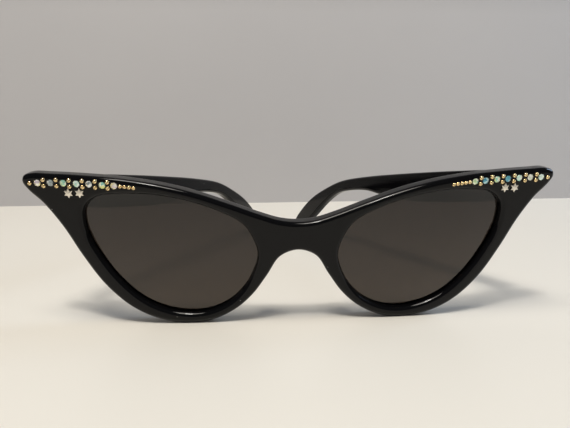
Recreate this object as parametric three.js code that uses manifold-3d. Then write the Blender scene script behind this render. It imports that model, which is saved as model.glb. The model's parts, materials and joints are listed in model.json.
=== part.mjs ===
// Cat eye sunglasses: a swept acetate front with jewelled wings, two tinted lenses and two
// folding temples on riveted five-knuckle hinges.
//
// Millimetres. The front is drawn in its own frame: x across, z up along the front, y from the
// front face towards the wearer. "right" is +x. Each temple has a frame at its hinge: z is the
// hinge axis, y runs along the temple and x is across its thickness. At the end the whole pair is
// leaned so that both rims and both temple tips stand on z = 0.

import * as THREE from 'three';
import { mergeVertices } from 'three/addons/utils/BufferGeometryUtils.js';
import Module from 'manifold-3d';

const wasm = await Module();
wasm.setup();

// ---- driving dimensions ------------------------------------------------------------------
const FRONT_THICKNESS = 4.8;
const EDGE_ROUND = 1.3;
const WING_START = 50; // the front curves back up to here, and the wings beyond it are flat
const WING_SETBACK = 1.75; // how far the face has turned back at the start of the wings

const LENS_THICKNESS = 1.8;
const LENS_SETBACK = 1.9;
const GROOVE_DEPTH = 1.1; // how far the lens groove cuts into the rim
const GAP = 0.3; // clearance between neighbouring pieces

const AXIS = new THREE.Vector3(61.5, 11.7, 37.0); // right hinge axis in the front's frame
const PAN = THREE.MathUtils.degToRad(16); // hinge axis against the plane of the front
const REST_FOLD = THREE.MathUtils.degToRad(27); // temples folded in this far at rest
const LEAN = THREE.MathUtils.degToRad(6.9); // top of the front leans forward on a table

const KNUCKLE_RADIUS = 1.5;
const KNUCKLE_HEIGHT = 0.96;
const KNUCKLE_PITCH = KNUCKLE_HEIGHT + GAP;
const SCREW_RADIUS = 0.6;
const SCREW_HEAD = { radius: 1.1, height: 0.8, slot: 0.3, slotDepth: 0.35 };
const LEAF_THICKNESS = 0.8;
const SHANK_RADIUS = 0.55;
const TAIL = { radius: 0.95, height: 0.4 }; // peened end of a rivet
const RIVET_HEAD = { radius: 1.1, sunk: 0.3, height: 0.4 };
const COUNTERBORE = { radius: 1.4, depth: 1.0 };

const TEMPLE_INNER = 1.9; // inner face of a temple, outboard of the hinge axis
const TEMPLE_THICKNESS = 3.6;
const TEMPLE_MIDDLE = TEMPLE_INNER + TEMPLE_THICKNESS / 2;
const CORE_RADIUS = 0.6;

const STONE_RADIUS = 0.95;
const STUD_RADIUS = 0.6;
const BEAD_RADIUS = 0.5;
const STAR_RADIUS = 1.25;
const SEAT_DEPTH = 1.1; // of the holes drilled for the jewels
const OVERCUT = 1; // cutting tools start this far outside the stock

// Right half of the front's outline, up from the bridge's underside, round the rim and the wing,
// and back along the brow.
const FRONT_HALF = [
  [0, 21.6], [4.9, 19.8], [8.6, 14.1], [12.6, 8.4], [17.5, 3.9], [24, 0.7], [31.5, 0],
  [39.2, 1.3], [46.4, 5.0], [53.1, 11.6], [58.3, 20.0], [62.6, 28.4], [66.8, 34.6], [70.4, 38.3],
  [71.6, 40.4], [71.1, 42.0], [69.2, 42.7], [64.7, 42.7], [55, 42.4], [46, 41.8], [36, 40.3],
  [27, 38], [18, 34.8], [10.2, 31.8], [4.8, 30.1], [0, 29.6],
];
const LENS_OPENING = [
  [11.1, 19.6], [11.9, 24], [15, 29.3], [21, 32.9], [30, 36.1], [38.5, 37.6], [46, 37.7],
  [52.6, 36.7], [56.1, 33.5], [56.3, 27.3], [53.3, 20], [47.9, 12.2], [41.5, 6.5],
  [33.6, 3.4], [26, 3.3], [19, 6.3], [13.9, 11.9],
];
const PAD = { x: 10.3, z: 14.6, half: [1.9, 6.2], turn: THREE.MathUtils.degToRad(28), depth: 3.4 };

// Jewels on the right wing, as [x, z] on the front's face.
const STONES = [
  [67.2, 40.4], [63.8, 40.5], [60.4, 40.5], [57.0, 40.4], [53.7, 40.4], [50.3, 40.2], [47.3, 40.1],
];
const STUD_PAIRS = [
  [65.6, 40.45], [62.2, 40.5], [58.8, 40.45], [55.4, 40.4], [52.1, 40.35], [48.9, 40.2],
];
const STUD_SPACING = 1.6; // between the two studs of a pair
const BEADS = { first: [45.7, 40.0], last: [41.2, 39.5], count: 5 };
const TIP_STUD = [69.2, 40.3];
const STARS = [[59.3, 37.9], [56.4, 38.0]];

// Temple in its own plane: y along it, z along the hinge axis. Top edge from the hinge to the
// ear end, then the bottom edge back.
const TEMPLE_TOP = [
  [12, 4.1], [40, 4.2], [66, 3.6], [81, 2.3], [92, -0.6], [104, -5.2], [113.5, -11.2],
];
const TEMPLE_TIP = [[119.2, -16.4], [119.8, -19.6], [116.6, -21.3]];
const TEMPLE_BOTTOM = [
  [111, -19.2], [102, -13.4], [93, -7.4], [84, -3.2], [74, -1.9], [64, -2.1], [55, -4],
  [46, -5.6], [30, -6.2], [12, -5.8],
];
const BUTT = { top: 3.7, bottom: -4.6, front: -1.6 };
const CORE_PATH = [[1, -2.6], [30, -1.4], [58, 0.5], [76, 0.6], [88, -2.2], [98, -6.6], [107, -12.2]];
const CORE_BORE_START = [-5, -2.8];
const TEMPLE_RIVETS = [4.7, 8.9]; // along the temple
const TEMPLE_RIVET_HEIGHT = 1.0;

// ---- materials ---------------------------------------------------------------------------
const finish = (color, roughness, metalness) => new THREE.MeshStandardMaterial({
  color, roughness, metalness,
});
const ACETATE = finish(0x0a0a0c, 0.12, 0);
const TINTED = finish(0x3c342e, 0.06, 0);
const BRASS = finish(0xc79a4b, 0.28, 1);
const SILVER = finish(0xd8cdb8, 0.25, 1);
const STEEL = finish(0x9a9a98, 0.35, 1);
const CRYSTAL = finish(0xd9e6dc, 0.05, 0);

// ---- solids: joining and cutting ---------------------------------------------------------
function solid(geometry) {
  const bare = geometry.clone();
  bare.deleteAttribute('normal');
  bare.deleteAttribute('uv');
  const merged = mergeVertices(bare, 1e-4);
  const index = merged.index.array;
  const triVerts = [];
  for (let i = 0; i < index.length; i += 3) {
    const [a, b, c] = [index[i], index[i + 1], index[i + 2]];
    if (a !== b && b !== c && c !== a) triVerts.push(a, b, c);
  }
  return new wasm.Manifold(new wasm.Mesh({
    numProp: 3,
    vertProperties: new Float32Array(merged.attributes.position.array),
    triVerts: new Uint32Array(triVerts),
  }));
}

function geometryOf(body) {
  const { vertProperties, triVerts } = body.getMesh();
  const geometry = new THREE.BufferGeometry();
  geometry.setAttribute('position', new THREE.BufferAttribute(vertProperties, 3));
  geometry.setIndex(new THREE.BufferAttribute(triVerts, 1));
  geometry.computeVertexNormals();
  return geometry;
}

const join = (...geometries) => geometryOf(geometries.map(solid).reduce((a, b) => a.add(b)));
function cut(geometry, ...tools) {
  return geometryOf(tools.map(solid).reduce((a, b) => a.subtract(b), solid(geometry)));
}


// ---- basic shapes ------------------------------------------------------------------------
const vector = ([x, z]) => new THREE.Vector3(x, z, 0);
const mirrored = (points) => points.map(([x, z]) => [-x, z]);

function closedCurve(points, count) {
  const curve = new THREE.CatmullRomCurve3(points.map(vector), true, 'centripetal');
  return curve.getSpacedPoints(count).slice(0, count).map(({ x, y }) => new THREE.Vector2(x, y));
}

function offset(outline, distance) {
  const turn = THREE.ShapeUtils.isClockWise(outline) ? -1 : 1;
  return outline.map((point, i) => {
    const before = outline[(i + outline.length - 1) % outline.length];
    const after = outline[(i + 1) % outline.length];
    const along = after.clone().sub(before).normalize();
    return new THREE.Vector2(along.y, -along.x).multiplyScalar(turn * distance).add(point);
  });
}

// A plate drawn in x and z. Its first face is at y = 0 and it runs to y = thickness.
function plate(outline, thickness, round = 0, holes = [], segments = 3) {
  const shape = new THREE.Shape(outline);
  shape.holes = holes.map((hole) => new THREE.Path(hole));
  const geometry = new THREE.ExtrudeGeometry(shape, {
    depth: thickness - 2 * round,
    steps: 1,
    bevelEnabled: round > 0,
    bevelThickness: round,
    bevelSize: round,
    bevelOffset: -round,
    bevelSegments: segments,
  });
  return geometry.rotateX(Math.PI / 2).translate(0, thickness - round, 0);
}

// A turned piece on the y axis; its profile is [radius, y] and starts and ends on the axis.
function turned(profile, sides) {
  return new THREE.LatheGeometry(profile.map(([r, y]) => new THREE.Vector2(r, y)), sides);
}

const box = (x0, x1, y0, y1, z0, z1) => new THREE.BoxGeometry(x1 - x0, y1 - y0, z1 - z0)
  .translate((x0 + x1) / 2, (y0 + y1) / 2, (z0 + z1) / 2);
const rod = (radius, y0, y1, sides = 8) => new THREE.CylinderGeometry(radius, radius, y1 - y0, sides)
  .translate(0, (y0 + y1) / 2, 0);
const post = (radius, z0, z1, sides = 12) => rod(radius, z0, z1, sides).rotateX(Math.PI / 2);

function rope(points, radius, steps, depth) {
  const stations = points.map(([y, z]) => new THREE.Vector3(depth, y, z));
  const path = new THREE.CatmullRomCurve3(stations, false, 'centripetal');
  const circle = new THREE.Path().absarc(0, 0, radius, 0, 2 * Math.PI);
  const section = new THREE.Shape(circle.getPoints(4).slice(0, 8));
  return new THREE.ExtrudeGeometry(section, { steps, bevelEnabled: false, extrudePath: path });
}

// ---- the front's curved face -------------------------------------------------------------
const WING_SLOPE = (4 * WING_SETBACK) / WING_START;
const onWing = (x) => Math.abs(x) > WING_START;
const sweep = (x) => (onWing(x)
  ? WING_SETBACK + WING_SLOPE * (Math.abs(x) - WING_START)
  : WING_SETBACK * (x / WING_START) ** 4);
const slope = (x) => WING_SLOPE * (onWing(x) ? Math.sign(x) : (x / WING_START) ** 3);

function bend(geometry) {
  const { position } = geometry.attributes;
  for (let i = 0; i < position.count; i += 1) {
    position.setY(i, position.getY(i) + sweep(position.getX(i)));
  }
  return geometry;
}

// Stands a piece on the front's face at [x, z], its own y axis along the face's inward normal.
function onFace([x, z], depth = 0) {
  const turn = Math.atan(slope(x));
  const place = new THREE.Vector3(x - depth * Math.sin(turn), sweep(x) + depth * Math.cos(turn), z);
  return new THREE.Matrix4().makeRotationZ(turn).setPosition(place);
}
const sided = (side, [x, z]) => [side * x, z];
const hingeFrame = (side) => new THREE.Matrix4().makeRotationX(-PAN)
  .setPosition(side * AXIS.x, AXIS.y, AXIS.z);

// ---- front -------------------------------------------------------------------------------
const opening = (side) => closedCurve(side > 0 ? LENS_OPENING : mirrored(LENS_OPENING), 44);

function seats(side) {
  const bores = [...STONES, TIP_STUD].map((place, i) => {
    const radius = (i < STONES.length ? STONE_RADIUS : STUD_RADIUS) + GAP;
    return rod(radius, -OVERCUT, SEAT_DEPTH).applyMatrix4(onFace(sided(side, place)));
  });
  const slots = STUD_PAIRS.map((place) => {
    const half = STUD_SPACING / 2 + STUD_RADIUS / 2 + GAP;
    return box(-STUD_RADIUS, STUD_RADIUS, -OVERCUT, SEAT_DEPTH, -half, half)
      .applyMatrix4(onFace(sided(side, place)));
  });
  const rivets = STARS.map((place) => join(
    rod(SHANK_RADIUS + GAP, -OVERCUT, FRONT_THICKNESS + OVERCUT),
    rod(STAR_RADIUS + GAP, -OVERCUT, 0.5),
  ).applyMatrix4(onFace(sided(side, place))));
  return [...bores, ...slots, ...rivets, beadSlot(side)];
}

function frontFrame() {
  const lower = FRONT_HALF.slice(1, -1);
  const whole = [...FRONT_HALF, ...mirrored(lower).reverse()];
  const outline = closedCurve(whole, 124);
  const blank = plate(outline, FRONT_THICKNESS, EDGE_ROUND, [opening(1), opening(-1)], 2);
  const grooveFront = LENS_SETBACK - GAP;
  const grooves = [1, -1].map((side) => {
    const groove = plate(offset(opening(side), GROOVE_DEPTH), LENS_THICKNESS + 2 * GAP);
    return bend(groove.translate(0, grooveFront, 0));
  });
  return cut(bend(blank), ...grooves, ...seats(1), ...seats(-1));
}

function lens(side) {
  const glass = plate(offset(opening(side), GROOVE_DEPTH - GAP), LENS_THICKNESS, 0.4, [], 1);
  return bend(glass.translate(0, LENS_SETBACK, 0));
}

// A domed pad with a flat face towards the rim, leaning along the nose side of the rim.
function nosePad(side) {
  const dome = new THREE.SphereGeometry(1, 16, 10).scale(PAD.half[0], PAD.depth, PAD.half[1]);
  return cut(dome, box(-9, 9, -9, 0, -9, 9))
    .translate(0, FRONT_THICKNESS + GAP, 0)
    .rotateY(-side * PAD.turn)
    .applyMatrix4(onFace([side * PAD.x, PAD.z]));
}

// ---- jewels ------------------------------------------------------------------------------
// A domed stud on a short shank, its dome pointing out of the face.
const stud = (radius) => turned([
  [0, -0.8], [radius * 0.6, -0.8], [radius * 0.6, 0.05], [radius, 0.05],
  [radius * 0.8, radius * 0.55], [0, radius * 0.8],
], 6).rotateX(Math.PI);

function rhinestone() {
  const [culet, girdle, table] = [-0.75, 0.1, 0.45];
  return turned([
    [0, culet], [STONE_RADIUS, -girdle], [STONE_RADIUS, girdle], [STONE_RADIUS * 0.55, table], [0, table],
  ], 8).rotateX(Math.PI);
}

// Two studs on one bar that lies in a slot under the face.
function studPair() {
  const half = STUD_SPACING / 2;
  return join(
    box(-0.25, 0.25, 0.4, 0.75, -half, half),
    stud(STUD_RADIUS).translate(0, 0, half),
    stud(STUD_RADIUS).translate(0, 0, -half),
  );
}

const beadStep = new THREE.Vector2(...BEADS.last).sub(new THREE.Vector2(...BEADS.first))
  .divideScalar(BEADS.count - 1);
const beadCount = (side) => (side > 0 ? BEADS.count : BEADS.count - 1); // one is lost on the left

function beadPlaces(side) {
  return Array.from({ length: BEADS.count }, (_, i) => {
    const place = new THREE.Vector2(...BEADS.first).addScaledVector(beadStep, i);
    return [side * place.x, place.y];
  });
}

// A bar between the first and last bead of a row, drawn in the frame of its middle.
function beadBar(side, halfWidth, y0, y1, extra) {
  const places = beadPlaces(side).slice(0, beadCount(side));
  const [first, last] = [places[0], places[places.length - 1]];
  const half = Math.hypot(last[0] - first[0], last[1] - first[1]) / 2 + extra;
  const middle = [(first[0] + last[0]) / 2, (first[1] + last[1]) / 2];
  return box(-half, half, y0, y1, -halfWidth, halfWidth)
    .rotateY(-Math.atan((last[1] - first[1]) / (last[0] - first[0])))
    .applyMatrix4(onFace(middle));
}

function beadSlot(side) {
  const clear = BEAD_RADIUS + 0.1;
  const slot = beadBar(side, clear, -OVERCUT, SEAT_DEPTH, clear);
  const empty = beadPlaces(side).slice(beadCount(side))
    .map((place) => rod(0.4, -OVERCUT, 0.9).applyMatrix4(onFace(place)));
  return join(slot, ...empty);
}

function beadRow(side) {
  const beads = beadPlaces(side).slice(0, beadCount(side))
    .map((place) => stud(BEAD_RADIUS).applyMatrix4(onFace(place)));
  return join(beadBar(side, 0.2, 0.35, 0.7, 0), ...beads);
}

// ---- rivets and hinges -------------------------------------------------------------------
// A shank from under its head to a peened tail behind the leaf.
function shank(length) {
  const tail = length + GAP;
  return join(
    rod(SHANK_RADIUS, 0, tail + TAIL.height / 2),
    rod(TAIL.radius, tail, tail + TAIL.height),
  );
}

function starRivet() {
  const points = Array.from({ length: 12 }, (_, i) => {
    const radius = i % 2 ? STAR_RADIUS * 0.5 : STAR_RADIUS;
    const angle = (Math.PI * i) / 6 + Math.PI / 2;
    return new THREE.Vector2(radius * Math.cos(angle), radius * Math.sin(angle));
  });
  const head = plate(points, 0.5).translate(0, -0.3, 0);
  return join(head, shank(FRONT_THICKNESS + GAP + LEAF_THICKNESS));
}

function templeRivet(side, along) {
  const head = rod(RIVET_HEAD.radius, RIVET_HEAD.sunk, RIVET_HEAD.sunk + RIVET_HEAD.height, 12);
  const rivet = join(head, shank(TEMPLE_THICKNESS + GAP + LEAF_THICKNESS));
  return onTemple(rivet, side, along);
}

// Turns a piece whose y axis runs inward so that it stands on a temple's outer face.
function onTemple(geometry, side, along) {
  return geometry.rotateZ((side * Math.PI) / 2)
    .translate(side * (TEMPLE_INNER + TEMPLE_THICKNESS), along, TEMPLE_RIVET_HEIGHT);
}

const knuckle = (level) => post(KNUCKLE_RADIUS, level - KNUCKLE_HEIGHT / 2, level + KNUCKLE_HEIGHT / 2);
const pinBore = () => post(SCREW_RADIUS + GAP, -5, 5);

function frontHinge(side) {
  const leafFront = FRONT_THICKNESS + GAP;
  const leaf = box(-4.3, 4.3, leafFront, leafFront + LEAF_THICKNESS, -3.6, 3.6)
    .applyMatrix4(onFace([side * (AXIS.x - 3.3), AXIS.z + 0.4]));
  const leafMiddle = sweep(AXIS.x) + leafFront + LEAF_THICKNESS / 2;
  const levels = [-2 * KNUCKLE_PITCH, 0, 2 * KNUCKLE_PITCH];
  const knuckles = levels.flatMap((level) => {
    const reach = (AXIS.y - leafMiddle + level * Math.sin(PAN)) / Math.cos(PAN);
    const half = KNUCKLE_HEIGHT / 2;
    return [knuckle(level), box(-0.8, 0.8, -reach, 0, level - half, level + half)];
  }).map((piece) => piece.applyMatrix4(hingeFrame(side)));
  const rivetHoles = STARS.map((place) => rod(SHANK_RADIUS + GAP, leafFront - OVERCUT, leafFront + 3)
    .applyMatrix4(onFace(sided(side, place))));
  const bore = pinBore().applyMatrix4(hingeFrame(side));
  return cut(join(leaf, ...knuckles), bore, ...rivetHoles);
}

function templeHinge(side) {
  const leafInner = TEMPLE_INNER - GAP - LEAF_THICKNESS;
  const x = [side * leafInner, side * (leafInner + LEAF_THICKNESS)].sort((a, b) => a - b);
  const web = [0, side * (leafInner + LEAF_THICKNESS)].sort((a, b) => a - b);
  const half = KNUCKLE_HEIGHT / 2;
  const knuckles = [-KNUCKLE_PITCH, KNUCKLE_PITCH]
    .flatMap((level) => [knuckle(level), box(...web, 0, 3, level - half, level + half)]);
  const holes = TEMPLE_RIVETS.map((along) => onTemple(rod(SHANK_RADIUS + GAP, 0, 6), side, along));
  return cut(join(box(...x, 2.1, 11, -2.9, 2.9), ...knuckles), pinBore(), ...holes);
}

function hingeScrew() {
  const top = 2.5 * KNUCKLE_PITCH + GAP / 2;
  const headTop = top + SCREW_HEAD.height;
  const screw = join(post(SCREW_RADIUS, -top, top + 0.3), post(SCREW_HEAD.radius, top, headTop));
  const half = SCREW_HEAD.slot / 2;
  return cut(screw, box(-2, 2, -half, half, headTop - SCREW_HEAD.slotDepth, headTop + OVERCUT));
}

// ---- temples -----------------------------------------------------------------------------
const buttPoint = (z) => [(BUTT.front - z * Math.sin(PAN)) / Math.cos(PAN), z];

function temple(side) {
  const edge = [
    buttPoint(BUTT.top), ...TEMPLE_TOP, ...TEMPLE_TIP, ...TEMPLE_BOTTOM, buttPoint(BUTT.bottom),
  ];
  const curve = new THREE.CatmullRomCurve3(edge.map(vector), false, 'centripetal');
  const outline = curve.getSpacedPoints(56).map(({ x, y }) => new THREE.Vector2(x, y));
  const blank = plate(outline, TEMPLE_THICKNESS, 0.9, [], 2)
    .rotateZ(Math.PI / 2)
    .translate(side > 0 ? TEMPLE_INNER + TEMPLE_THICKNESS : -TEMPLE_INNER, 0, 0);
  const bore = rope([CORE_BORE_START, ...CORE_PATH], CORE_RADIUS + GAP, 18, side * TEMPLE_MIDDLE);
  const holes = TEMPLE_RIVETS.map((along) => onTemple(
    join(
      rod(SHANK_RADIUS + GAP, -OVERCUT, TEMPLE_THICKNESS + OVERCUT),
      rod(COUNTERBORE.radius, -OVERCUT, COUNTERBORE.depth, 12),
    ), side, along));
  return cut(blank, bore, ...holes);
}

function coreWire(side) {
  const end = CORE_PATH[CORE_PATH.length - 1];
  const shorter = [...CORE_PATH.slice(0, -1), [end[0] - 0.8, end[1] + 0.5]];
  return rope(shorter, CORE_RADIUS, 18, side * TEMPLE_MIDDLE);
}

// ---- assembly ----------------------------------------------------------------------------
function named(name, geometry, material, matrix = new THREE.Matrix4()) {
  const mesh = new THREE.Mesh(geometry, material);
  mesh.name = name;
  mesh.applyMatrix4(matrix);
  return mesh;
}

function wingTrims(side, word) {
  const at = (place) => onFace(sided(side, place));
  return [
    ...STONES.map((place, i) => named(`rhinestone_${word}_${i + 1}`, rhinestone(), CRYSTAL, at(place))),
    ...STUD_PAIRS.map((place, i) => named(`stud_pair_${word}_${i + 1}`, studPair(), BRASS, at(place))),
    ...STARS.map((place, i) => named(`star_rivet_${word}_${i + 1}`, starRivet(), SILVER, at(place))),
    named(`tip_stud_${word}`, stud(STUD_RADIUS), BRASS, at(TIP_STUD)),
    named(`bead_row_${word}`, beadRow(side), BRASS),
  ];
}

function templeGroup(side, word) {
  const group = new THREE.Group();
  group.applyMatrix4(hingeFrame(side));
  group.rotateZ(side * REST_FOLD);
  group.add(
    named(`temple_${word}`, temple(side), ACETATE),
    named(`temple_core_${word}`, coreWire(side), STEEL),
    named(`temple_hinge_${word}`, templeHinge(side), STEEL),
    ...TEMPLE_RIVETS.map((along, i) => {
      const rivet = templeRivet(side, along);
      return named(`temple_rivet_${word}_${i + 1}`, rivet, STEEL);
    }),
  );
  return group;
}

const leaned = new THREE.Group();
leaned.rotation.x = LEAN;
leaned.add(named('front_frame', frontFrame(), ACETATE));
for (const [side, word] of [[-1, 'left'], [1, 'right']]) {
  leaned.add(
    named(`lens_${word}`, lens(side), TINTED),
    named(`nose_pad_${word}`, nosePad(side), ACETATE),
    named(`front_hinge_${word}`, frontHinge(side), STEEL),
    named(`hinge_screw_${word}`, hingeScrew(), STEEL, hingeFrame(side)),
    ...wingTrims(side, word),
    templeGroup(side, word),
  );
}

// The pair stands on z = 0 with the middle of its box over the origin.
const glasses = new THREE.Group();
glasses.add(leaned);
const bounds = new THREE.Box3().setFromObject(glasses, true);
const middle = bounds.getCenter(new THREE.Vector3());
glasses.position.set(-middle.x, -middle.y, -bounds.min.z);

export default glasses;
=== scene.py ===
# %% [markdown]
# # Cat eye sunglasses
# A pair of glossy black sunglasses stands on a pale table with its temples half folded. The packed
# model gives every size, place and hinge. This script gives each part the surface of the real one:
# polished acetate, tinted lenses, brass studs and foil-backed stones.
#
# We load the imported model first.

import json
import math

import bpy
from mathutils import Matrix, Vector


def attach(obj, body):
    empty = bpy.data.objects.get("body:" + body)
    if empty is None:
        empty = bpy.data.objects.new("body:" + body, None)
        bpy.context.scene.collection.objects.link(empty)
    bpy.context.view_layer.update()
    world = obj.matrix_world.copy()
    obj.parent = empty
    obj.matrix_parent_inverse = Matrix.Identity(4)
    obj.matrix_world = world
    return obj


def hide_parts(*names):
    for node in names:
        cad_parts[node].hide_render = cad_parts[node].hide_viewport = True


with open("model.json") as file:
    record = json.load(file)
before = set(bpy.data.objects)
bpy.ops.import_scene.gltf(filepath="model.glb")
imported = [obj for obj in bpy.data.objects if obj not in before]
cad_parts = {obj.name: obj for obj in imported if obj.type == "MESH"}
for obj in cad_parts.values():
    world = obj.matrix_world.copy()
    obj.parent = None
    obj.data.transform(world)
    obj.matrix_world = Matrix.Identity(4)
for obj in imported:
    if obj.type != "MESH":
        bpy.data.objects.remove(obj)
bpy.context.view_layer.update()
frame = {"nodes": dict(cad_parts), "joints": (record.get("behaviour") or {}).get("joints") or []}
nodes = frame["nodes"]
MM = 0.001

# %% [markdown]
# ## Two frames to build in
# The front is flat to draw but leans forward on the table, and each temple turns about a hinge that
# is tilted against the front. So we draw the front in its own frame, where x runs across, z up and y
# towards the wearer, and each temple in the frame of its hinge. A matrix then carries the finished
# mesh to its place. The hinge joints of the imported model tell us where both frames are.

# %% The front's frame and the temples' frames
SIDES = {"left": -1, "right": 1}
PAN = math.radians(16)  # the hinge axis against the front
HINGE = Vector((61.5, 11.7, 37.0)) * MM  # the right hinge, in the front's frame
joints = {joint["name"]: joint for joint in frame["joints"]}


def hinge_place(word):
    return Vector(joints[f"{word}_temple_fold"]["pos_m"])


def hinge_axis(word):
    return Vector(joints[f"{word}_temple_fold"]["axis"]) * SIDES[word]


LEAN = PAN - math.atan2(hinge_axis("right").y, hinge_axis("right").z)
lean = Matrix.Rotation(LEAN, 4, "X")
FRONT = Matrix.Translation(hinge_place("right") - lean @ HINGE) @ lean


def temple_frame(word):
    """x across the temple, y along it, z along the hinge axis."""
    up = hinge_axis(word)
    fold = math.radians(-joints[f"{word}_temple_fold"]["range_deg"][0])
    open_way = Vector((0, up.z, -up.y))
    along = Matrix.Rotation(SIDES[word] * fold, 3, up) @ open_way
    across = along.cross(up)
    turn = Matrix((across, along, up)).transposed().to_4x4()
    return Matrix.Translation(hinge_place(word)) @ turn


print("lean of the front in degrees:", round(math.degrees(LEAN), 2))

# %% [markdown]
# ## The curve of the front
# A cat eye front is cut from one sheet and then curved: hardly at all over the nose, more towards the
# wings, which are flat again. One formula gives how far the face has turned back at any x. Everything
# that sits on the face, such as the stones, uses the same formula, so that it sits square on it.

# %% Sweep of the face
WING_START = 50 * MM
WING_SETBACK = 1.75 * MM
WING_SLOPE = 4 * WING_SETBACK / WING_START


def sweep(x):
    if abs(x) > WING_START:
        return WING_SETBACK + WING_SLOPE * (abs(x) - WING_START)
    return WING_SETBACK * (x / WING_START) ** 4


def on_face(x, z, depth=0.0):
    """Matrix that stands a piece on the face, its y axis going into the material."""
    slope = math.copysign(WING_SLOPE, x) * min(1, abs(x / WING_START)) ** 3
    turn = math.atan(slope)
    place = Vector((x - depth * math.sin(turn), sweep(x) + depth * math.cos(turn), z))
    return FRONT @ Matrix.Translation(place) @ Matrix.Rotation(turn, 4, "Z")


print("wings turned back by mm:", round(sweep(72 * MM) / MM, 2))

# %% [markdown]
# ## Shader helpers
# Real polished things are never quite clean or quite even. Two effects come back in several materials
# here, so each is a node group. `Handling` makes the roughness drift the way finger grease does, and
# gives the height of hairline scratches and a mask of dust specks. The stone group gives the changing
# colour of a coated stone and paints near-white glints into it. Both read object coordinates, so they stay
# put on the surface.

# %% Node helpers
FLOAT, COLOR = "NodeSocketFloat", "NodeSocketColor"
MIX_FACTOR, MIX_FIRST, MIX_SECOND, MIX_RESULT = 0, 6, 7, 2  # the colour sockets of a Mix node


def add(tree, kind, given=None, **settings):
    """Adds a node. `given` maps its inputs to sockets or to plain values."""
    node = tree.nodes.new(kind)
    for key, value in settings.items():
        setattr(node, key, value)
    for key, value in (given or {}).items():
        if isinstance(value, bpy.types.NodeSocket):
            tree.links.new(value, node.inputs[key])
        else:
            node.inputs[key].default_value = value
    return node


def mix_colors(tree, factor, first, second):
    given = {MIX_FACTOR: factor, MIX_FIRST: first, MIX_SECOND: second}
    return add(tree, "ShaderNodeMix", given, data_type="RGBA").outputs[MIX_RESULT]


def new_group(name, inputs, outputs):
    group = bpy.data.node_groups.new(name, "ShaderNodeTree")
    for label, (kind, value) in inputs.items():
        group.interface.new_socket(label, in_out="INPUT", socket_type=kind).default_value = value
    for label, kind in outputs.items():
        group.interface.new_socket(label, in_out="OUTPUT", socket_type=kind)
    return group, group.nodes.new("NodeGroupInput").outputs, group.nodes.new("NodeGroupOutput").inputs


# %% Group: handling
def make_handling():
    group, given, result = new_group(
        "Handling",
        {"Smear Scale": (FLOAT, 90.0), "Low": (FLOAT, 0.05), "High": (FLOAT, 0.16),
         "Dust": (FLOAT, 0.05)},
        {"Roughness": FLOAT, "Height": FLOAT, "Specks": FLOAT},
    )
    place = add(group, "ShaderNodeTexCoord").outputs["Object"]
    smear = add(group, "ShaderNodeTexNoise",
                {"Vector": place, "Scale": given["Smear Scale"], "Detail": 5.0, "Distortion": 0.6})
    spread = add(group, "ShaderNodeMapRange",
                 {"Value": smear.outputs["Fac"], "From Min": 0.35, "From Max": 0.7,
                  "To Min": given["Low"], "To Max": given["High"]})
    streaks = add(group, "ShaderNodeMapping",
                  {"Vector": place, "Scale": (700, 900, 9000), "Rotation": (0.5, 0.3, 0.9)})
    hairlines = add(group, "ShaderNodeTexNoise",
                    {"Vector": streaks.outputs["Vector"], "Scale": 1.0, "Detail": 3.0})
    cells = add(group, "ShaderNodeTexVoronoi", {"Vector": place, "Scale": 620.0})
    chance = add(group, "ShaderNodeSeparateColor", {"Color": cells.outputs["Color"]}).outputs["Red"]
    rare = add(group, "ShaderNodeMath", {0: chance, 1: given["Dust"]}, operation="LESS_THAN")
    near = add(group, "ShaderNodeMath", {0: cells.outputs["Distance"], 1: 0.09}, operation="LESS_THAN")
    both = add(group, "ShaderNodeMath", {0: rare.outputs[0], 1: near.outputs[0]}, operation="MULTIPLY")
    group.links.new(spread.outputs["Result"], result["Roughness"])
    group.links.new(hairlines.outputs["Fac"], result["Height"])
    group.links.new(both.outputs[0], result["Specks"])
    return group


handling = make_handling()
print("group:", handling.name, "with", len(handling.nodes), "nodes")


# %% Group: stone coat hues with painted glints
def make_coat_and_glints():
    group, given, result = new_group(
        "Coat hues and painted glints",
        {label: (COLOR, (1, 1, 1, 1)) for label in ("First", "Second", "Painted Glint")},
        {"Color": COLOR},
    )
    place = add(group, "ShaderNodeTexCoord").outputs["Object"]
    patches = add(group, "ShaderNodeTexVoronoi", {"Vector": place, "Scale": 1500.0})
    tone = add(group, "ShaderNodeSeparateColor", {"Color": patches.outputs["Color"]})
    ground = mix_colors(group, tone.outputs["Red"], given["First"], given["Second"])
    # the near-white patches mixed in here are painted glints, standing in for light caught by the facets
    glint = add(group, "ShaderNodeMath", {0: tone.outputs["Green"], 1: 0.64}, operation="GREATER_THAN")
    group.links.new(mix_colors(group, glint.outputs[0], ground, given["Painted Glint"]), result["Color"])
    return group


coat_and_glints = make_coat_and_glints()
print("group:", coat_and_glints.name, "with", len(coat_and_glints.nodes), "nodes")

# %% [markdown]
# ## The finishes
# Black acetate is a deep black under a polished skin, so its base colour is nearly nothing and all that
# shows is the reflection. The lenses are dark brown-grey glass that still lets the table through. Studs
# and hinges are metals. The stones have a foil behind them, so they are coloured and partly metallic
# under a clear coat. At this size that reads much better than glass, which would only show the black
# acetate behind it.

# %% Material helper
DUST_GREY = (0.32, 0.31, 0.3, 1)
SCRATCH_DEPTH = 0.02 * MM


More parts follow.
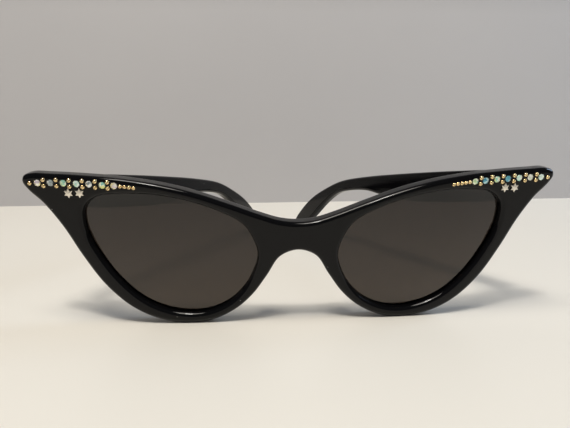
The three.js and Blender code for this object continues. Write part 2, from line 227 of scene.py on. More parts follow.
def new_material(name, base, low, high, dust=0.0, scratch=0.0, smear=90.0, **shader):
    """A Principled material with the handling group; `shader` sets the shader's own constant sockets."""
    material = bpy.data.materials.new(name)
    material.use_nodes = True
    tree = material.node_tree
    principled = tree.nodes["Principled BSDF"]
    for label, value in shader.items():
        principled.inputs[label.replace("_", " ")].default_value = value
    worn = add(tree, "ShaderNodeGroup", node_tree=handling)
    for label, value in {"Smear Scale": smear, "Low": low, "High": high, "Dust": dust}.items():
        worn.inputs[label].default_value = value
    color = mix_colors(tree, worn.outputs["Specks"], (*base, 1), DUST_GREY)
    tree.links.new(color, principled.inputs["Base Color"])
    tree.links.new(worn.outputs["Roughness"], principled.inputs["Roughness"])
    if scratch:
        bump = add(tree, "ShaderNodeBump",
                   {"Height": worn.outputs["Height"], "Strength": scratch, "Distance": SCRATCH_DEPTH})
        tree.links.new(bump.outputs["Normal"], principled.inputs["Normal"])
    return material


# %% Acetate, lens and metals
acetate = new_material("polished black acetate", (0.0025, 0.0025, 0.003), 0.03, 0.1, dust=0.03, scratch=0.15,
                       IOR=1.33, Specular_IOR_Level=0.42)
tint = new_material("brown-grey lens", (0.043, 0.032, 0.025), 0.0, 0.02, smear=45,
                    IOR=1.5, Specular_IOR_Level=0.4, Transmission_Weight=1.0)
brass = new_material("polished brass", (0.90, 0.68, 0.36), 0.14, 0.3, scratch=0.3, smear=900, Metallic=1.0)
champagne = new_material("champagne star plate", (0.87, 0.81, 0.71), 0.22, 0.4, scratch=0.5, smear=900,
                         Metallic=1.0)
nickel = new_material("nickel silver hinge", (0.62, 0.58, 0.5), 0.24, 0.42, scratch=0.6, smear=300,
                      Metallic=1.0)


def fade_upwards(material, low, high, top_color):
    """Mixes the base colour towards `top_color` between two heights, more of it higher up."""
    tree = material.node_tree
    socket = tree.nodes["Principled BSDF"].inputs["Base Color"]
    height = add(tree, "ShaderNodeSeparateXYZ", {"Vector": add(tree, "ShaderNodeTexCoord").outputs["Object"]})
    share = add(tree, "ShaderNodeMapRange", {"Value": height.outputs["Z"], "From Min": low, "From Max": high})
    color = mix_colors(tree, share.outputs["Result"], socket.links[0].from_socket, (*top_color, 1))
    tree.links.new(color, socket)


fade_upwards(tint, 8 * MM, 36 * MM, (0.019, 0.014, 0.012))
print("materials:", [material.name for material in bpy.data.materials])

# %% [markdown]
# ## The hues of the stones
# A rainbow coat makes every stone flash in its own mix of colours. Six mixes are enough for fourteen
# stones: each has two ground colours and a near-white colour painted on as glints, and each stone in a row
# names the mix it has.

# %% Stones in the hues of a rainbow coat
# each mix: two ground colours of the coat, then a near-white colour painted on as glints
HUES = {  # two ground colours and a spark colour
    "cream": ((0.98, 0.90, 0.30, 1), (0.66, 0.58, 0.86, 1), (1.0, 0.98, 0.88, 1)),
    "clear": ((0.06, 0.07, 0.08, 1), (0.45, 0.52, 0.52, 1), (0.95, 0.97, 0.95, 1)),
    "lime": ((0.90, 0.90, 0.25, 1), (0.25, 0.68, 0.66, 1), (0.95, 1.0, 0.80, 1)),
    "mint": ((0.33, 0.68, 0.55, 1), (0.55, 0.85, 0.74, 1), (0.85, 1.0, 0.92, 1)),
    "pale": ((0.66, 0.74, 0.58, 1), (0.80, 0.84, 0.76, 1), (1.0, 1.0, 0.95, 1)),
    "blue": ((0.06, 0.30, 0.46, 1), (0.16, 0.52, 0.62, 1), (0.55, 0.82, 0.86, 1)),
}
STONE_HUES = {  # from the tip of the wing inwards
    "left": ("cream", "clear", "lime", "mint", "clear", "lime", "cream"),
    "right": ("mint", "pale", "mint", "blue", "lime", "blue", "lime"),
}


def stone_material(hue):
    material = bpy.data.materials.new(f"foiled stone, {hue}")
    material.use_nodes = True
    tree = material.node_tree
    principled = tree.nodes["Principled BSDF"]
    for label, value in {"Metallic": 0.35, "Coat Weight": 1.0, "Coat Roughness": 0.02}.items():
        principled.inputs[label].default_value = value
    # the third colour of the mix is painted over the coat colours as glints
    first, second, painted_glint = HUES[hue]
    colored = add(tree, "ShaderNodeGroup", node_tree=coat_and_glints)
    for label, value in {"First": first, "Second": second, "Painted Glint": painted_glint}.items():
        colored.inputs[label].default_value = value
    worn = add(tree, "ShaderNodeGroup", node_tree=handling)
    worn.inputs["Low"].default_value = 0.08
    worn.inputs["High"].default_value = 0.2
    tree.links.new(colored.outputs["Color"], principled.inputs["Base Color"])
    tree.links.new(worn.outputs["Roughness"], principled.inputs["Roughness"])
    return material


stone_finish = {hue: stone_material(hue) for hue in HUES}
print("stone finishes:", len(stone_finish))

# %% [markdown]
# ## Helpers for making pieces
# Every operator works on what is selected, and loading the model leaves its nodes selected, so the
# first helper selects only what it is given. The last one finishes a piece: it carries the mesh to its place,
# gives it its material, hangs it on the body it rides on and hides the imported nodes it stands for.

# %% Selecting, shaping and finishing
def only(*objects):
    bpy.ops.object.select_all(action="DESELECT")
    for obj in objects:
        obj.select_set(True)
    bpy.context.view_layer.objects.active = objects[0]


def apply_modifier(obj, kind, **settings):
    only(obj)
    modifier = obj.modifiers.new(kind.title(), kind)
    for key, value in settings.items():
        setattr(modifier, key, value)
    bpy.ops.object.modifier_apply(modifier=modifier.name)


def smooth(obj, angle=32):
    """Smooth shading with true flats: weighted normals keep a broad face even next to its rounding."""
    only(obj)
    bpy.ops.object.shade_smooth_by_angle(angle=math.radians(angle))
    apply_modifier(obj, "WEIGHTED_NORMAL", keep_sharp=True)


def copy_of(obj, name):
    twin = obj.copy()
    twin.data = obj.data.copy()
    twin.name = name
    bpy.context.collection.objects.link(twin)
    return twin


def finish_piece(obj, name, place, material, body, slot, *stands_for):
    obj.name = name
    obj.data.transform(place)
    obj.data.materials.clear()
    obj.data.materials.append(material)
    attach(obj, body)
    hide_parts(*stands_for)


# %% [markdown]
# ## Sheet stock
# The front, the lenses and the temples all start as flat sheet, cut to an outline with its edges
# rounded over. A few points and a smooth curve through them give the outline. A flat Blender curve does
# the rest: it fills the outline, leaves the holes open and rolls a round edge along every rim. Once it
# is a mesh, straight cuts across it give it enough points to bend.

# %% Outlines
def heading(before, here, after, gap_before, gap_after):
    """Which way the curve runs at `here`, from the points on both sides of it."""
    return [
        (here[k] - before[k]) / gap_before
        - (after[k] - before[k]) / (gap_before + gap_after)
        + (after[k] - here[k]) / gap_after
        for k in (0, 1)
    ]


def smooth_outline(points, steps=8, closed=True):
    """A smooth curve through `points`, with `steps` points for each one given."""
    count = len(points)
    result = []
    for i in range(count if closed else count - 1):
        if closed:
            near = [points[(i + k) % count] for k in (-1, 0, 1, 2)]
        else:
            near = [points[min(max(i + k, 0), count - 1)] for k in (-1, 0, 1, 2)]
        gaps = [math.dist(near[k], near[k + 1]) ** 0.5 for k in range(3)]
        gaps = [gap or gaps[1] for gap in gaps]
        leave = heading(*near[0:3], *gaps[0:2])
        arrive = heading(*near[1:4], *gaps[1:3])
        for step in range(steps):
            t = step / steps
            weights = (2 * t**3 - 3 * t**2 + 1, (t**3 - 2 * t**2 + t) * gaps[1],
                       3 * t**2 - 2 * t**3, (t**3 - t**2) * gaps[1])
            parts = list(zip(weights, (near[1], leave, near[2], arrive)))
            result.append([sum(weight * value[k] for weight, value in parts) for k in (0, 1)])
    return result if closed else result + [list(points[-1])]


def mirrored(points):
    return [(-x, z) for x, z in points]


def grown(outline, distance):
    """The outline moved outwards by `distance`, whichever way round it runs."""
    count = len(outline)
    area = sum(a[0] * b[1] - b[0] * a[1] for a, b in zip(outline, outline[1:] + outline[:1]))
    side = math.copysign(distance, area)
    result = []
    for i, (x, z) in enumerate(outline):
        (x0, z0), (x1, z1) = outline[i - 1], outline[(i + 1) % count]
        length = math.dist((x0, z0), (x1, z1))
        result.append((x + side * (z1 - z0) / length, z - side * (x1 - x0) / length))
    return result


# %% Blanks cut from sheet
def cut_blank(name, outline, thickness, rounding, holes=(), resolution=5):
    """Sheet stock in mm: drawn in x and z, from y = 0 to y = thickness, with rounded edges."""
    curve = bpy.data.curves.new(name, "CURVE")
    curve.dimensions = "2D"
    curve.fill_mode = "BOTH"
    curve.extrude = (thickness / 2 - rounding) * MM
    curve.bevel_depth = rounding * MM
    curve.bevel_resolution = resolution
    curve.offset = -rounding * MM
    for ring in (outline, *holes):
        spline = curve.splines.new("POLY")
        spline.points.add(len(ring) - 1)
        for point, (x, z) in zip(spline.points, ring):
            point.co = (x * MM, z * MM, 0, 1)
        spline.use_cyclic_u = True
    blank = bpy.data.objects.new(name, curve)
    bpy.context.collection.objects.link(blank)
    only(blank)
    bpy.ops.object.convert(target="MESH")
    blank = bpy.context.object
    stand_up = Matrix.Translation((0, thickness / 2 * MM, 0)) @ Matrix.Rotation(math.pi / 2, 4, "X")
    blank.data.transform(stand_up)
    bpy.ops.object.mode_set(mode="EDIT")
    bpy.ops.mesh.select_all(action="SELECT")
    bpy.ops.mesh.remove_doubles(threshold=0.002 * MM)
    bpy.ops.mesh.normals_make_consistent(inside=False)
    bpy.ops.object.mode_set(mode="OBJECT")
    return blank


def slice_across(obj, direction, first, last, pitch):
    """Straight cuts across a blank, in mm, so that it can bend between them."""
    only(obj)
    bpy.ops.object.mode_set(mode="EDIT")
    for step in range(int((last - first) / pitch) + 1):
        bpy.ops.mesh.select_all(action="SELECT")
        at = [(first + step * pitch) * MM * part for part in direction]
        bpy.ops.mesh.bisect(plane_co=at, plane_no=direction)
    bpy.ops.object.mode_set(mode="OBJECT")


def bend(obj, way):
    """Moves every point back by way(x, z)."""
    for vertex in obj.data.vertices:
        vertex.co.y += way(vertex.co.x, vertex.co.z)
    obj.data.update()


# %% [markdown]
# ## The front
# Two rims, a bridge and two swept wings, all one piece of acetate 4.8 mm thick. Its right half is drawn
# and mirrored. The edges are rolled over by 1.3 mm, which is what carries the long thin highlight under
# the brow. A groove inside each rim holds the lens, as a cutter would leave it.

# %% Outlines of the front
THICKNESS, ROLL = 4.8, 1.3
LENS_BACK, LENS_THICK = 1.9, 1.8  # how far behind the face the lens starts, and its thickness
GROOVE, PLAY = 1.1, 0.1  # depth of the groove in the rim, and its room on each side of the lens
CUT_PITCH = 2  # mm between the cuts that a blank bends at
FRONT_HALF = [
    (0, 21.6), (4.9, 19.8), (8.6, 14.1), (12.6, 8.4), (17.5, 3.9), (24, 0.7), (31.5, 0),
    (39.2, 1.3), (46.4, 5.0), (53.1, 11.6), (58.3, 20.0), (62.6, 28.4), (66.8, 34.6), (70.4, 38.3),
    (71.6, 40.4), (71.1, 42.0), (69.2, 42.7), (64.7, 42.7), (55, 42.4), (46, 41.8), (36, 40.3),
    (27, 38), (18, 34.8), (10.2, 31.8), (4.8, 30.1), (0, 29.6),
]
LENS_OPENING = [
    (11.1, 19.6), (11.9, 24), (15, 29.3), (21, 32.9), (30, 36.1), (38.5, 37.6), (46, 37.7),
    (52.6, 36.7), (56.1, 33.5), (56.3, 27.3), (53.3, 20), (47.9, 12.2), (41.5, 6.5),
    (33.6, 3.4), (26, 3.3), (19, 6.3), (13.9, 11.9),
]
front_outline = smooth_outline(FRONT_HALF + mirrored(FRONT_HALF[1:-1])[::-1])
right_opening = smooth_outline(LENS_OPENING)
openings = {"left": mirrored(right_opening), "right": right_opening}
print("points round the front:", len(front_outline), "and round a lens:", len(right_opening))

# %% Cut, groove and bend the front
front = cut_blank("front", front_outline, THICKNESS, ROLL, openings.values())
for word in SIDES:
    cutter = cut_blank("cutter", grown(openings[word], GROOVE), LENS_THICK + 2 * PLAY, 0.3, resolution=1)
    cutter.data.transform(Matrix.Translation((0, (LENS_BACK - PLAY) * MM, 0)))
    apply_modifier(front, "BOOLEAN", operation="DIFFERENCE", object=cutter, solver="EXACT")
    bpy.data.objects.remove(cutter)
slice_across(front, (1, 0, 0), -70, 70, CUT_PITCH)
bend(front, lambda x, z: sweep(x))
smooth(front)
finish_piece(front, "acetate_front", FRONT, acetate, "front", "black_acetate", "front_frame")
print("front:", len(front.data.polygons), "faces")

# %% [markdown]
# ## The lenses
# Each lens is a plate a little larger than the opening, so its edge sits in the groove. A sunglass lens
# is a slice of a large ball, and that gentle dome is what makes the reflection slide across it. We cut
# the plate both ways, bend it with the front and raise its middle.

# %% Lenses
DOME = 0.9  # height of the middle over the edge, in mm
LENS_MIDDLE, LENS_HALF = (33.4, 20.5), (22.5, 17.5)  # where the dome is, across and up, in mm
GLUE_GAP = 0.15  # between the lens and the bottom of its groove


def lens_bend(side):
    def way(x, z):
        across = (x / MM - side * LENS_MIDDLE[0]) / LENS_HALF[0]
        upwards = (z / MM - LENS_MIDDLE[1]) / LENS_HALF[1]
        return sweep(x) - DOME * MM * max(0, 1 - across**2 - upwards**2)
    return way


for word, side in SIDES.items():
    lens = cut_blank("lens", grown(openings[word], GROOVE - GLUE_GAP), LENS_THICK, 0.25, resolution=2)
    lens.data.transform(Matrix.Translation((0, LENS_BACK * MM, 0)))
    slice_across(lens, (1, 0, 0), *sorted((side * 11, side * 57)), CUT_PITCH)
    slice_across(lens, (0, 0, 1), 3, 39, CUT_PITCH)
    bend(lens, lens_bend(side))
    smooth(lens, 40)
    finish_piece(lens, f"tinted_lens_{word}", FRONT, tint, "front", "tinted_lens", f"lens_{word}")
    print(lens.name, len(lens.data.polygons), "faces")

# %% [markdown]
# ## The temples
# Deep at the hinge, then drawn in to a slim arm that drops behind the ear and ends in a rounded paddle.
# The front end is cut at the slant of the hinge, so that it shuts flat against the wing. It is the
# same sheet stock, so the same blank does it, stood up in the hinge's frame.

# %% Temples
TEMPLE_INNER = 1.9  # from the hinge axis to the inner face
TEMPLE_THICK, TEMPLE_ROLL = 3.6, 1.1
BUTT_FRONT, BUTT_TOP, BUTT_BOTTOM = -1.6, 3.7, -4.6  # the front end, from the hinge's middle
TEMPLE_EDGE = [
    (12, 4.1), (40, 4.2), (66, 3.6), (81, 2.3), (92, -0.6), (104, -5.2), (113.5, -11.2),
    (119.2, -16.4), (119.8, -19.6), (116.6, -21.3),
    (111, -19.2), (102, -13.4), (93, -7.4), (84, -3.2), (74, -1.9), (64, -2.1), (55, -4),
    (46, -5.6), (30, -6.2), (12, -5.8),
]


def butt(height):
    return ((BUTT_FRONT - height * math.sin(PAN)) / math.cos(PAN), height)


temple_outline = smooth_outline([butt(BUTT_TOP), *TEMPLE_EDGE, butt(BUTT_BOTTOM)], closed=False)
for word, side in SIDES.items():
    temple = cut_blank("temple", temple_outline, TEMPLE_THICK, TEMPLE_ROLL)
    smooth(temple)
    inner = (TEMPLE_INNER + TEMPLE_THICK if side > 0 else -TEMPLE_INNER) * MM
    along = Matrix.Translation((inner, 0, 0)) @ Matrix.Rotation(math.pi / 2, 4, "Z")
    place = temple_frame(word) @ along
    finish_piece(temple, f"acetate_temple_{word}", place, acetate, f"temple_{word}", "black_acetate",
                 f"temple_{word}")
    print(temple.name, len(temple.data.polygons), "faces")

# %% [markdown]
# ## The nose pads
# Small domed cushions of the same acetate, glued behind the rims so that the weight does not rest on an
# edge. A ball squeezed to size and cut in half gives the dome, and a small bevel softens its rim.

# %% Nose pads
PAD_AT, PAD_HALF = (10.3, 14.6), (1.9, 6.2)
PAD_FOOT, PAD_DEPTH = 5.1, 3.4  # how far behind the face the pad starts, and how far it stands out
PAD_TURN = math.radians(28)

for word, side in SIDES.items():
    bpy.ops.object.select_all(action="DESELECT")
    bpy.ops.mesh.primitive_uv_sphere_add(segments=40, ring_count=24, radius=1, location=(0, 0, 0))
    pad = bpy.context.object
    pad.data.transform(Matrix.Diagonal((PAD_HALF[0] * MM, PAD_DEPTH * MM, PAD_HALF[1] * MM, 1)))
    bpy.ops.object.mode_set(mode="EDIT")
    bpy.ops.mesh.select_all(action="SELECT")
    bpy.ops.mesh.bisect(plane_co=(0, 0, 0), plane_no=(0, 1, 0), use_fill=True, clear_inner=True)
    bpy.ops.object.mode_set(mode="OBJECT")
    apply_modifier(pad, "BEVEL", width=0.25 * MM, segments=3, limit_method="ANGLE")
    smooth(pad, 40)
    turned = Matrix.Rotation(-side * PAD_TURN, 4, "Y")
    behind = Matrix.Translation((0, PAD_FOOT * MM, 0))
    place = on_face(side * PAD_AT[0] * MM, PAD_AT[1] * MM) @ behind @ turned
    finish_piece(pad, f"glued_pad_{word}", place, acetate, "front", "black_acetate", f"nose_pad_{word}")
    print(pad.name, len(pad.data.polygons), "faces")

# %% [markdown]
# ## The stones
# A rhinestone is a short faceted cone with a flat table, about 1.8 mm across. We start from an
# eight-sided cylinder, draw its top in twice for the crown and the table, and its underside in once.
# Turning the table by half a side gives the triangular facets that catch the light. Each stone is set
# in a drilled seat, so only its crown stands out of the face.

# %% Where the jewels sit on the right wing
STONES = [(67.2, 40.4), (63.8, 40.5), (60.4, 40.5), (57.0, 40.4), (53.7, 40.4), (50.3, 40.2),
          (47.3, 40.1)]
STUD_PAIRS = [(65.6, 40.45), (62.2, 40.5), (58.8, 40.45), (55.4, 40.4), (52.1, 40.35), (48.9, 40.2)]
STUD_SPACING = 1.6
BEADS_FROM, BEADS_TO, BEADS = (45.7, 40.0), (41.2, 39.5), 5
LOST_BEADS = {"left": 1, "right": 0}
TIP_STUD = (69.2, 40.3)
STARS = [(59.3, 37.9), (56.4, 38.0)]
print("on each wing:", len(STONES), "stones,", len(STUD_PAIRS), "stud pairs and", len(STARS), "stars")


# %% Cut one stone
OUT_OF_FACE, INTO_FACE = Vector((0, -1, 0)), Vector((0, 1, 0))
STONE_RADIUS, STONE_SIDES, GIRDLE = 0.88, 8, 0.2
TABLE_ABOVE = 0.4  # the table is the only part of the stone this far out
STONE_STEPS = (  # direction, inset and rise of the crown, the table and the underside
    (OUT_OF_FACE, 0.3, 0.22),
    (OUT_OF_FACE, 0.22, 0.14),
    (INTO_FACE, 0.55, 0.55),
)


def select_facing(obj, direction):
    """Selects only the flat faces that look along `direction`."""
    for face in obj.data.polygons:
        face.select = face.normal.dot(direction) > 0.99
    for edge in obj.data.edges:
        edge.select = False
    for vertex in obj.data.vertices:
        vertex.select = False


def cut_stone():
    bpy.ops.object.select_all(action="DESELECT")
    bpy.ops.mesh.primitive_cylinder_add(vertices=STONE_SIDES, radius=STONE_RADIUS * MM, depth=GIRDLE * MM,
                                        location=(0, 0, 0), rotation=(math.pi / 2, 0, 0))
    stone = bpy.context.object
    bpy.ops.object.transform_apply(location=True, rotation=True, scale=True)
    for direction, inset, rise in STONE_STEPS:
        select_facing(stone, direction)
        bpy.ops.object.mode_set(mode="EDIT")
        bpy.ops.mesh.select_mode(type="FACE")
        bpy.ops.mesh.inset(thickness=inset * MM, depth=0)
        bpy.ops.transform.translate(value=direction * rise * MM)
        bpy.ops.object.mode_set(mode="OBJECT")
    for vertex in stone.data.vertices:
        if vertex.co.y < -TABLE_ABOVE * MM:
            vertex.co = Matrix.Rotation(math.pi / STONE_SIDES, 3, "Y") @ vertex.co
    bpy.ops.object.mode_set(mode="EDIT")
    bpy.ops.mesh.select_all(action="SELECT")
    bpy.ops.mesh.quads_convert_to_tris()
    bpy.ops.object.mode_set(mode="OBJECT")
    apply_modifier(stone, "BEVEL", width=0.03 * MM, segments=2, limit_method="ANGLE",
                   angle_limit=math.radians(12))
    only(stone)
    bpy.ops.object.shade_flat()
    return stone


stone_pattern = cut_stone()
print("faces on one stone:", len(stone_pattern.data.polygons))

# %% Set the stones
STONE_PROUD = 0.05  # the middle of the girdle stands this far out of the face
STONE_SPIN = 0.7  # each stone is turned this much further than the one before, in radians

for word, side in SIDES.items():
    for number, ((x, z), hue) in enumerate(zip(STONES, STONE_HUES[word]), 1):
        stone = copy_of(stone_pattern, "stone")
        spin = Matrix.Rotation(STONE_SPIN * number, 4, "Y")
        place = on_face(side * x * MM, z * MM) @ Matrix.Translation((0, -STONE_PROUD * MM, 0)) @ spin
        finish_piece(stone, f"stone_{word}_{number}", place, stone_finish[hue], "front", "crystal",
                     f"rhinestone_{word}_{number}")
bpy.data.objects.remove(stone_pattern)
print("stones set:", len(STONES) * len(SIDES))

# %% [markdown]
# ## The studs
# Brass nails with a domed head, pressed into drilled holes. Each dome has a small dent where the punch
# held it. A ball is cut at its equator, its open rim is drawn down into the hole as a shank, and the
# head is flattened and its topmost points pushed in. The same steps make the smaller studs.

# %% Turn one stud
STUD_RADIUS, BEAD_RADIUS = 0.57, 0.52
SKIRT = 0.12  # height of the straight rim under the head
STUD_SHANK, SHANK_SHARE = 0.6, 0.6  # length of the shank, and its width as a share of the head's
HEAD_HEIGHT = 0.82  # as a share of half a ball
DENT_DEPTH, DENT_REACH = 0.26, 0.36  # as shares of the radius


def turn_stud(radius):
    bpy.ops.object.select_all(action="DESELECT")
    bpy.ops.mesh.primitive_uv_sphere_add(segments=20, ring_count=14, radius=radius * MM, location=(0, 0, 0),
                                         rotation=(math.pi / 2, 0, 0))
    stud = bpy.context.object
    bpy.ops.object.transform_apply(location=True, rotation=True, scale=True)
    bpy.ops.object.mode_set(mode="EDIT")
    bpy.ops.mesh.select_all(action="SELECT")
    bpy.ops.mesh.bisect(plane_co=(0, 0, 0), plane_no=(0, 1, 0), clear_outer=True)
    bpy.ops.mesh.select_all(action="SELECT")
    bpy.ops.mesh.region_to_loop()
    bpy.ops.mesh.extrude_region_move(TRANSFORM_OT_translate={"value": (0, SKIRT * MM, 0)})
    bpy.ops.mesh.extrude_region_move()
    bpy.ops.transform.resize(value=(SHANK_SHARE, 1, SHANK_SHARE))
    bpy.ops.mesh.extrude_region_move(TRANSFORM_OT_translate={"value": (0, STUD_SHANK * MM, 0)})
    bpy.ops.mesh.edge_face_add()
    bpy.ops.mesh.select_all(action="SELECT")
    bpy.ops.mesh.normals_make_consistent(inside=False)
    bpy.ops.object.mode_set(mode="OBJECT")
    for vertex in stud.data.vertices:
        if vertex.co.y < 0:
            out = math.hypot(vertex.co.x, vertex.co.z) / (radius * MM)
            dent = DENT_DEPTH * radius * MM * max(0, 1 - (out / DENT_REACH) ** 2)
            vertex.co.y = vertex.co.y * HEAD_HEIGHT + dent
    smooth(stud, 50)
    return stud


def joined_studs(pattern, name, places):
    """Copies of the pattern at each place, joined into one piece."""
    studs = []
    for place in places:
        stud = copy_of(pattern, name)
        stud.data.transform(place)
        studs.append(stud)
    only(*studs)
    if len(studs) > 1:
        bpy.ops.object.join()
    return bpy.context.object


stud_pattern = turn_stud(STUD_RADIUS)
bead_pattern = turn_stud(BEAD_RADIUS)
print("faces on one stud:", len(stud_pattern.data.polygons))

# %% Press in the studs
STILL = Matrix.Identity(4)
SEATED = Matrix.Translation((0, -0.1 * MM, 0))  # the straight rim ends just under the face


def bead_places(side, count):
    for i in range(count):
        t = i / (BEADS - 1)
        x, z = [a + (b - a) * t for a, b in zip(BEADS_FROM, BEADS_TO)]
        yield on_face(side * x * MM, z * MM) @ SEATED


for word, side in SIDES.items():
    for number, (x, z) in enumerate(STUD_PAIRS, 1):
        places = [on_face(side * x * MM, (z + up * STUD_SPACING / 2) * MM) @ SEATED for up in (1, -1)]
        pair = joined_studs(stud_pattern, "pair", places)
        finish_piece(pair, f"domed_pair_{word}_{number}", STILL, brass, "front", "brass_studs",
                     f"stud_pair_{word}_{number}")
    row = joined_studs(bead_pattern, "row", bead_places(side, BEADS - LOST_BEADS[word]))
    finish_piece(row, f"inner_row_{word}", STILL, brass, "front", "brass_studs", f"bead_row_{word}")
    tip = joined_studs(stud_pattern, "tip", [on_face(side * TIP_STUD[0] * MM, TIP_STUD[1] * MM) @ SEATED])
    finish_piece(tip, f"wing_tip_stud_{word}", STILL, brass, "front", "brass_studs", f"tip_stud_{word}")
    print(word, "wing:", 2 * len(STUD_PAIRS) + BEADS - LOST_BEADS[word] + 1, "studs")
bpy.data.objects.remove(stud_pattern)
bpy.data.objects.remove(bead_pattern)

# %% [markdown]
# ## The stars
# The front hinges are riveted through the wings, and the rivets end in little six-pointed stars. A
# twelve-sided disc has every second point drawn in. Its top is then gathered to the middle and lifted,
# which leaves a ridge along every ray. The rivet's shank and its peened tail go through to the hinge leaf.

# %% Strike one star
STAR_POINTS = 6
STAR_RADIUS, STAR_WAIST, STAR_THICK = 1.3, 0.56, 0.3
STAR_RIDGE = 0.13  # height of its middle over its points


def strike_star():
    bpy.ops.object.select_all(action="DESELECT")
    bpy.ops.mesh.primitive_cylinder_add(vertices=2 * STAR_POINTS, radius=STAR_RADIUS * MM,
                                        depth=STAR_THICK * MM, location=(0, 0, 0),
                                        rotation=(math.pi / 2, 0, 0))
    star = bpy.context.object
    bpy.ops.object.transform_apply(location=True, rotation=True, scale=True)
    for vertex in star.data.vertices:
        ray = round(math.atan2(vertex.co.x, vertex.co.z) / (math.pi / STAR_POINTS))
        if ray % 2:
            vertex.co.x *= STAR_WAIST
            vertex.co.z *= STAR_WAIST
    select_facing(star, OUT_OF_FACE)
    bpy.ops.object.mode_set(mode="EDIT")
    bpy.ops.mesh.select_mode(type="FACE")
    bpy.ops.mesh.poke(offset=STAR_RIDGE * MM)
    bpy.ops.object.mode_set(mode="OBJECT")
    apply_modifier(star, "BEVEL", width=0.04 * MM, segments=2, limit_method="ANGLE",
                   angle_limit=math.radians(40))
    return star


SHANK_RADIUS, SHANK_LENGTH = 0.55, 6.15
TAIL_HEIGHT = 0.35  # of the peened end
TAIL_SPREAD, TAIL_TOP = 1.7, 0.75  # its foot against the shank, and its top against its foot


def rivet_shank():
    bpy.ops.object.select_all(action="DESELECT")
    bpy.ops.mesh.primitive_cylinder_add(vertices=24, radius=SHANK_RADIUS * MM, depth=SHANK_LENGTH * MM,
                                        location=(0, SHANK_LENGTH / 2 * MM, 0),
                                        rotation=(math.pi / 2, 0, 0))
    post = bpy.context.object
    bpy.ops.object.transform_apply(location=True, rotation=True, scale=True)
    select_facing(post, INTO_FACE)
    bpy.ops.object.mode_set(mode="EDIT")
    bpy.ops.mesh.select_mode(type="FACE")
    bpy.ops.mesh.extrude_region_move()
    bpy.ops.transform.resize(value=(TAIL_SPREAD, 1, TAIL_SPREAD))
    bpy.ops.mesh.extrude_region_move(TRANSFORM_OT_translate={"value": (0, TAIL_HEIGHT * MM, 0)})
    bpy.ops.transform.resize(value=(TAIL_TOP, 1, TAIL_TOP))
    bpy.ops.object.mode_set(mode="OBJECT")
    return post


star_pattern = strike_star()
print("faces on one star:", len(star_pattern.data.polygons))

# %% Rivet the stars through the wings
for word, side in SIDES.items():
    for number, (x, z) in enumerate(STARS, 1):
        star = copy_of(star_pattern, "star")
        post = rivet_shank()
        only(star, post)
        bpy.ops.object.join()
        star = bpy.context.object
        place = on_face(side * x * MM, z * MM) @ Matrix.Translation((0, -STAR_THICK / 2 * MM, 0))
        finish_piece(star, f"star_{word}_{number}", place, champagne, "front", "star_metal",
                     f"star_rivet_{word}_{number}")
bpy.data.objects.remove(star_pattern)
print("stars riveted on:", len(STARS) * len(SIDES))

# %% [markdown]
# ## The hinges
# Leaves, knuckles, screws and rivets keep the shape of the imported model, which is already that of small
# stamped and turned parts. They only need the right metal: nickel silver, a warm grey that takes fine
# scratches. The core wires inside the temples get it too.

# %% Metal for the hinge parts
HINGE_PARTS = ("front_hinge", "temple_hinge", "hinge_screw", "temple_rivet", "temple_core")
for name, node in nodes.items():
    if name.startswith(HINGE_PARTS):
        node.data.materials.clear()
        node.data.materials.append(nickel)
print("hinge parts:", sum(name.startswith(HINGE_PARTS) for name in nodes))

# %% [markdown]
# ## Table, wall and light
# The glasses stand on a pale table in front of a pale wall. Glossy black shows nothing but what is
# around it, so the light matters more than the paint. A large soft window above and in front, with one
# bright pane in it, draws the highlight along the brow. A cool window on the right gives the wing its
# blue edge, a weaker one on the left answers it, and the pale table itself lights the rims from below.
# The wall's colour is painted darker higher up, a painted shade, so that the polish mirrors less of it, and
# it is only seen from its front, so that it never hides the glasses from a camera behind it.

# %% Table and wall
PLANE = 3.0  # side of the table and of the wall
WALL_AT = 0.13  # how far behind the glasses the wall stands
# painted shade: the wall is painted darker above this height, in the dark colour below
WALL_PALE = 0.12  # above this height the wall falls into shade
WALL_PAINTED_SHADE = (0.09, 0.09, 0.1, 1)


def pale_surface(name, low_color, high_color, roughness, wall=False):
    material = bpy.data.materials.new(name)
    material.use_nodes = True
    tree = material.node_tree
    principled = tree.nodes["Principled BSDF"]
    place = add(tree, "ShaderNodeTexCoord").outputs["Object"]
    drift = add(tree, "ShaderNodeTexNoise", {"Vector": place, "Scale": 3.0, "Detail": 3.0})
    color = mix_colors(tree, drift.outputs["Fac"], (*low_color, 1), (*high_color, 1))
    principled.inputs["Roughness"].default_value = roughness
    if wall:
        # painted shade: above that height the wall's colour is mixed towards a dark grey
        height = add(tree, "ShaderNodeSeparateXYZ", {"Vector": place}).outputs["Y"]
        shade = add(tree, "ShaderNodeMapRange",
                    {"Value": height, "From Min": WALL_PALE - PLANE / 2,
                     "From Max": 2 * WALL_PALE - PLANE / 2})
        color = mix_colors(tree, shade.outputs["Result"], color, WALL_PAINTED_SHADE)
        output = tree.nodes["Material Output"]
        behind = add(tree, "ShaderNodeNewGeometry").outputs["Backfacing"]
        clear = add(tree, "ShaderNodeBsdfTransparent").outputs["BSDF"]
        shown = add(tree, "ShaderNodeMixShader", {0: behind, 1: principled.outputs["BSDF"], 2: clear})
        tree.links.new(shown.outputs["Shader"], output.inputs["Surface"])
    tree.links.new(color, principled.inputs["Base Color"])
    return material


def stage_plane(name, size, location, rotation, material):
    bpy.ops.object.select_all(action="DESELECT")
    bpy.ops.mesh.primitive_plane_add(size=size, location=location, rotation=rotation)
    plane = bpy.context.object
    plane.name = name
    plane.data.materials.append(material)


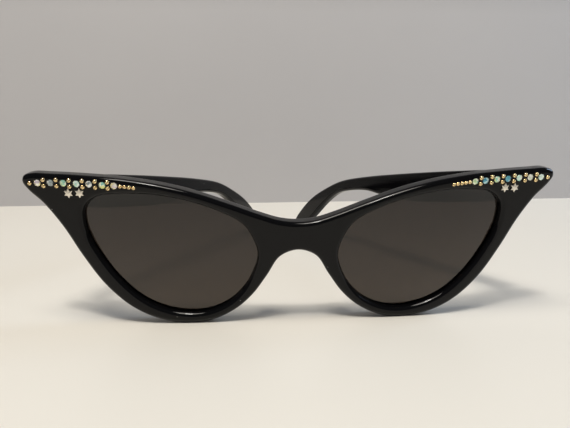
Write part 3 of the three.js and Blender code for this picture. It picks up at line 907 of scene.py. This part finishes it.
table_finish = pale_surface("pale table", (0.74, 0.70, 0.63), (0.82, 0.79, 0.73), 0.38)
wall_finish = pale_surface("pale wall", (0.46, 0.45, 0.46), (0.58, 0.57, 0.58), 0.5, wall=True)
stage_plane("table", PLANE, (0, 0, 0), (0, 0, 0), table_finish)
stage_plane("wall", PLANE, (0, WALL_AT, PLANE / 2), (math.pi / 2, 0, 0), wall_finish)
print("the wall stands", round(WALL_AT / MM), "mm behind the middle of the glasses")


# %% Lights
def window(name, location, target, size, power, color):
    light = bpy.data.lights.new(name, "AREA")
    light.shape = "RECTANGLE"
    light.size, light.size_y = size
    light.energy = power
    light.color = color
    lamp = bpy.data.objects.new(name, light)
    bpy.context.collection.objects.link(lamp)
    aim = (Vector(target) - Vector(location)).to_track_quat("-Z", "Y")
    lamp.matrix_world = Matrix.Translation(location) @ aim.to_matrix().to_4x4()


DAYLIGHT, BRIGHT_SKY, COOL_SKY = (1.0, 0.95, 0.86), (1.0, 0.97, 0.92), (0.62, 0.78, 1.0)

window("window above", (-0.12, -0.25, 0.8), (0, -0.05, 0), (0.42, 0.26), 5.0, DAYLIGHT)
window("bright pane", (-0.1, -0.3, 0.75), (0, -0.05, 0), (0.1, 0.05), 1.5, BRIGHT_SKY)
window("cool window right", (0.6, 0.05, 0.35), (0, 0, 0.03), (0.25, 0.25), 1.7, COOL_SKY)
window("cool window left", (-0.55, 0.25, 0.4), (0, 0, 0.03), (0.2, 0.2), 0.8, COOL_SKY)
print("windows:", [light.name for light in bpy.data.lights])

world = bpy.data.worlds.new("room")
world.use_nodes = True
world.node_tree.nodes["Background"].inputs["Color"].default_value = (0.86, 0.88, 0.92, 1)
world.node_tree.nodes["Background"].inputs["Strength"].default_value = 0.13
bpy.context.scene.world = world
bpy.context.scene.view_settings.view_transform = "Standard"

# %% [markdown]
# ## The camera
# A camera held a little above the glasses and a little to the left, close enough for strong perspective.
# Its place is given in the front's frame, so it keeps its view of the front.

# %% Camera
CAMERA_AT = Vector((-11.88, -115.34, 71.84)) * MM
CAMERA_YAW, CAMERA_PITCH, CAMERA_ROLL = (math.radians(angle) for angle in (4.02, 18.88, 0.36))
SENSOR_WIDTH, FOCAL_LENGTH = 36, 29.38

camera = bpy.data.objects.new("camera", bpy.data.cameras.new("camera"))
bpy.context.collection.objects.link(camera)
camera.data.sensor_width = SENSOR_WIDTH
camera.data.lens = FOCAL_LENGTH
camera.data.clip_start = 5 * MM
look = Matrix.Rotation(-CAMERA_YAW, 4, "Z") @ Matrix.Rotation(math.pi / 2 - CAMERA_PITCH, 4, "X")
camera.matrix_world = FRONT @ Matrix.Translation(CAMERA_AT) @ look @ Matrix.Rotation(CAMERA_ROLL, 4, "Z")
bpy.context.scene.camera = camera
print("camera at mm:", [round(part / MM) for part in camera.matrix_world.translation])
